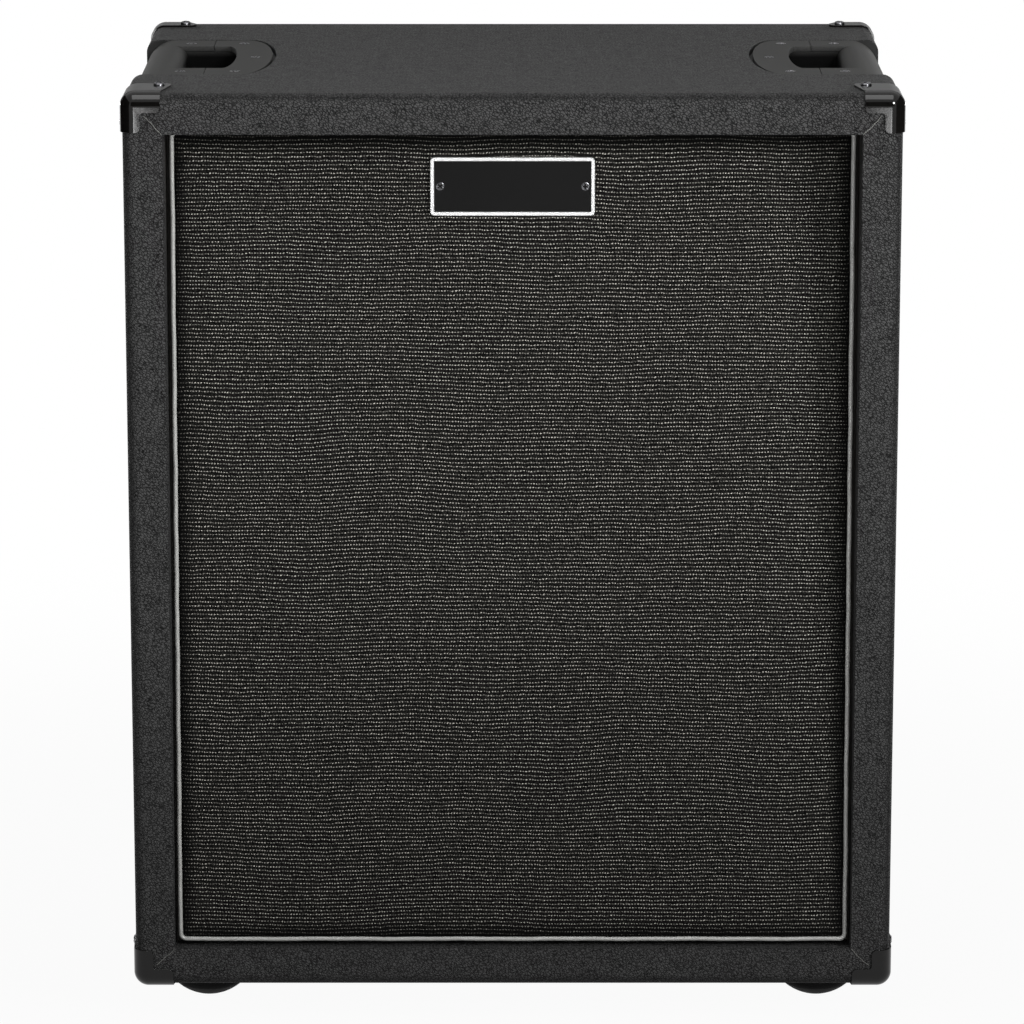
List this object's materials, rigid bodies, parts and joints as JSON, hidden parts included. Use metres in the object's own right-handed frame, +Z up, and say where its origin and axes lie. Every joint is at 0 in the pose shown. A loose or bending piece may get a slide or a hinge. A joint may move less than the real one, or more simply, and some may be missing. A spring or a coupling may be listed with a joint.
{
  "type": "guitar speaker cabinet",
  "caption": "Upright closed-back guitar speaker cabinet in black vinyl with a leaning piped grille, corner protectors, recessed edge handles, rubber feet and stacked cone speakers.",
  "frame": {"origin": "on the floor, under the middle of the cabinet", "axes": "+Z up, the grille faces -Y, +X to the right of someone who looks at the grille"},
  "size_m": [0.6082, 0.4034, 0.7451],
  "materials": {
    "carcass_plywood": "raw birch plywood",
    "black_board": "plywood stained matt black",
    "back_board": "plywood faced with black embossed vinyl",
    "vinyl": "black embossed vinyl cloth, satin",
    "cloth": "black weave with silver dashes",
    "piping": "grey extruded bead",
    "hook_tape": "black hook and loop tape",
    "badge": "bright rim round a black lacquered field",
    "black_screw": "black oxide steel",
    "zinc_screw": "zinc plated steel",
    "corner": "gloss black enamel on pressed steel",
    "handle": "fine textured dark grey moulding",
    "foot": "matt black",
    "jack_plate": "black powder coat on steel",
    "jack": "black body with a nickel plated bush",
    "jack_nut": "nickel plate",
    "speaker_frame": "black enamel on pressed steel",
    "speaker_edge": "doped cloth",
    "speaker_spider": "resin treated cloth",
    "speaker_paper": "dark grey pulp",
    "voice_coil": "copper winding on a paper former",
    "pole_steel": "zinc plated steel",
    "ferrite": "ground ferrite",
    "gasket": "black pressed board",
    "terminal": "tinned brass lugs on a board"
  },
  "bodies": {
    "cabinet": {"back_panel": "back_board", "back_panel_screws": "black_screw", "badge_plate": "badge", "badge_screws": "black_screw", "baffle_board": "black_board", "baffle_screws": "zinc_screw", "bottom_panel": "carcass_plywood", "corner_screws": "black_screw", "foot_screws": "zinc_screw", "front_bottom_left_corner": "corner", "front_bottom_right_corner": "corner", "front_rails": "carcass_plywood", "front_top_left_corner": "corner", "front_top_right_corner": "corner", "grille_cloth": "cloth", "grille_frame": "black_board", "grille_pads": "hook_tape", "grille_piping": "piping", "handle_screws": "black_screw", "input_jack": "jack", "jack_nuts": "jack_nut", "jack_plate": "jack_plate", "jack_plate_screws": "black_screw", "left_handle_dish": "handle", "left_handle_grip": "handle", "left_side_panel": "carcass_plywood", "link_jack": "jack", "lower_back_plate": "pole_steel", "lower_frame": "speaker_frame", "lower_magnet": "ferrite", "lower_spider": "speaker_spider", "lower_surround": "speaker_edge", "lower_top_plate": "pole_steel", "rear_bottom_left_corner": "corner", "rear_bottom_right_corner": "corner", "rear_cleats": "carcass_plywood", "rear_top_left_corner": "corner", "rear_top_right_corner": "corner", "right_handle_dish": "handle", "right_handle_grip": "handle", "right_side_panel": "carcass_plywood", "rubber_feet": "foot", "speaker_bolts": "zinc_screw", "speaker_gaskets": "gasket", "speaker_terminals": "terminal", "top_panel": "carcass_plywood", "upper_back_plate": "pole_steel", "upper_frame": "speaker_frame", "upper_magnet": "ferrite", "upper_spider": "speaker_spider", "upper_surround": "speaker_edge", "upper_top_plate": "pole_steel", "vinyl_covering": "vinyl"},
    "upper_cone_body": {"upper_cone": "speaker_paper", "upper_dust_cap": "speaker_paper", "upper_voice_coil": "voice_coil"},
    "lower_cone_body": {"lower_cone": "speaker_paper", "lower_dust_cap": "speaker_paper", "lower_voice_coil": "voice_coil"}
  },
  "joints": [
    {"name": "upper_cone_slide", "type": "slide", "parent": "cabinet", "child": "upper_cone_body", "axis": [0, -0.9986, 0.0523], "range_m": [-0.004, 0.004], "stiffness_N_per_m": 6000, "deforming": ["upper_surround", "upper_spider"]},
    {"name": "lower_cone_slide", "type": "slide", "parent": "cabinet", "child": "lower_cone_body", "axis": [0, -0.9986, 0.0523], "range_m": [-0.004, 0.004], "stiffness_N_per_m": 6000, "deforming": ["lower_surround", "lower_spider"]}
  ]
}
